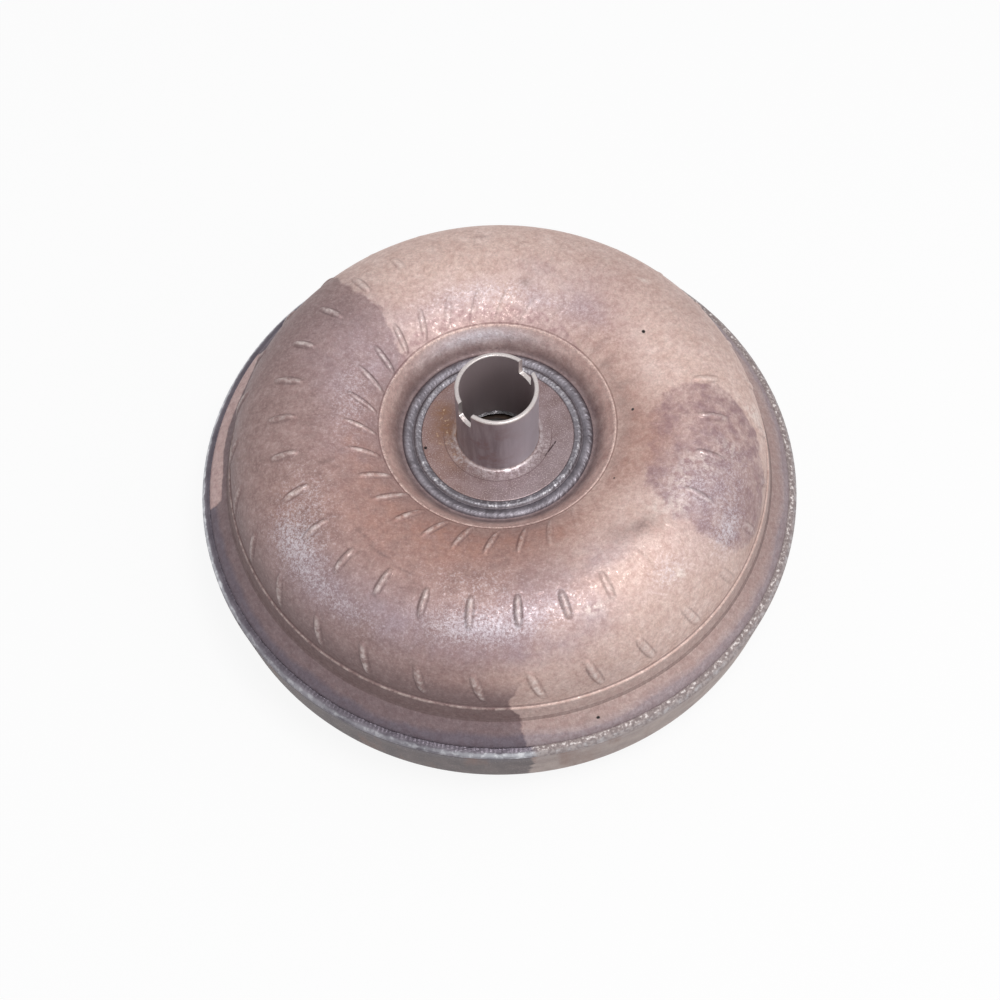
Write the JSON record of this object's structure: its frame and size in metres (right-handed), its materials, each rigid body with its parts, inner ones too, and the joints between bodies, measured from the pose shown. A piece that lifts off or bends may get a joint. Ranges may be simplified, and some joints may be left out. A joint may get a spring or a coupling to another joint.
{
  "type": "torque converter",
  "caption": "Lock-up torque converter: welded housing with a ribbed impeller shell and slotted pump-drive tube, and turbine, stator, one-way clutch, piston and spring damper inside",
  "frame": {"origin": "on the converter's axis, level with the faces of the drive lugs that it stands on", "axes": "+Z runs along the axis from the engine side to the gearbox side, towards the end of the pump-drive tube; +X is to the right in the picture, and the picture looks along +Y from in front and above"},
  "size_m": [0.3206, 0.3206, 0.146],
  "materials": {
    "baked_steel": "satin, copper-brown from heat, with a fine metallic grain",
    "cover_steel": "satin, dark grey-brown pressed steel",
    "weld_steel": "lumpy silver-grey weld bead",
    "hub_steel": "turned steel, satin, with light rust",
    "pressed_steel": "plain pressed steel, satin",
    "bearing_steel": "ground steel, nearly bright",
    "spring_steel": "oiled dark spring steel",
    "cast_aluminium": "as cast, matt",
    "lining_paper": "brown fibre friction paper, dull",
    "seal_polymer": "black, dull",
    "phenolic": "brown moulded resin, dull"
  },
  "bodies": {
    "housing": {"front_cover": "cover_steel", "pilot_boss": "hub_steel", "drive_lug_1": "hub_steel", "drive_lug_2": "hub_steel", "drive_lug_3": "hub_steel", "impeller_shell": "baked_steel", "closing_weld": "weld_steel", "impeller_hub": "hub_steel", "hub_weld": "weld_steel", "impeller_blades": "pressed_steel", "cover_washer": "phenolic", "impeller_bearing": "bearing_steel"},
    "turbine": {"turbine_shell": "pressed_steel", "turbine_blades": "pressed_steel", "turbine_hub": "hub_steel", "turbine_weld": "weld_steel", "turbine_bearing": "bearing_steel", "piston_seal": "seal_polymer"},
    "damper": {"damper_plate": "pressed_steel"},
    "piston": {"lockup_piston": "pressed_steel", "friction_lining": "lining_paper", "spring_retainer": "pressed_steel", "damper_spring_1": "spring_steel", "damper_spring_2": "spring_steel", "damper_spring_3": "spring_steel", "damper_spring_4": "spring_steel", "damper_spring_5": "spring_steel", "damper_spring_6": "spring_steel"},
    "race": {"stator_race": "bearing_steel"},
    "stator": {"stator_wheel": "cast_aluminium", "clutch_cam": "bearing_steel", "clutch_plate": "phenolic", "snap_ring": "spring_steel", "clutch_roller_1": "bearing_steel", "clutch_roller_2": "bearing_steel", "clutch_roller_3": "bearing_steel", "clutch_roller_4": "bearing_steel", "clutch_roller_5": "bearing_steel", "clutch_roller_6": "bearing_steel", "clutch_roller_7": "bearing_steel", "clutch_roller_8": "bearing_steel", "roller_spring_1": "spring_steel", "roller_spring_2": "spring_steel", "roller_spring_3": "spring_steel", "roller_spring_4": "spring_steel", "roller_spring_5": "spring_steel", "roller_spring_6": "spring_steel", "roller_spring_7": "spring_steel", "roller_spring_8": "spring_steel"}
  },
  "joints": [
    {"name": "turbine_spin", "type": "hinge", "parent": "housing", "child": "turbine", "pos_m": [0, 0, 0.048], "axis": [0, 0, 1], "continuous": true},
    {"name": "lockup_slide", "type": "slide", "parent": "turbine", "child": "damper", "axis": [0, 0, 1], "range_m": [0, 0.0013]},
    {"name": "damper_turn", "type": "hinge", "parent": "damper", "child": "piston", "pos_m": [0, 0, 0.02], "axis": [0, 0, 1], "range_deg": [-8, 8], "deforming": ["damper_spring_1", "damper_spring_2", "damper_spring_3", "damper_spring_4", "damper_spring_5", "damper_spring_6"]},
    {"name": "race_turn", "type": "hinge", "parent": "housing", "child": "race", "pos_m": [0, 0, 0.07], "axis": [0, 0, 1], "continuous": true},
    {"name": "stator_freewheel", "type": "hinge", "parent": "race", "child": "stator", "pos_m": [0, 0, 0.07], "axis": [0, 0, 1], "continuous": true}
  ]
}
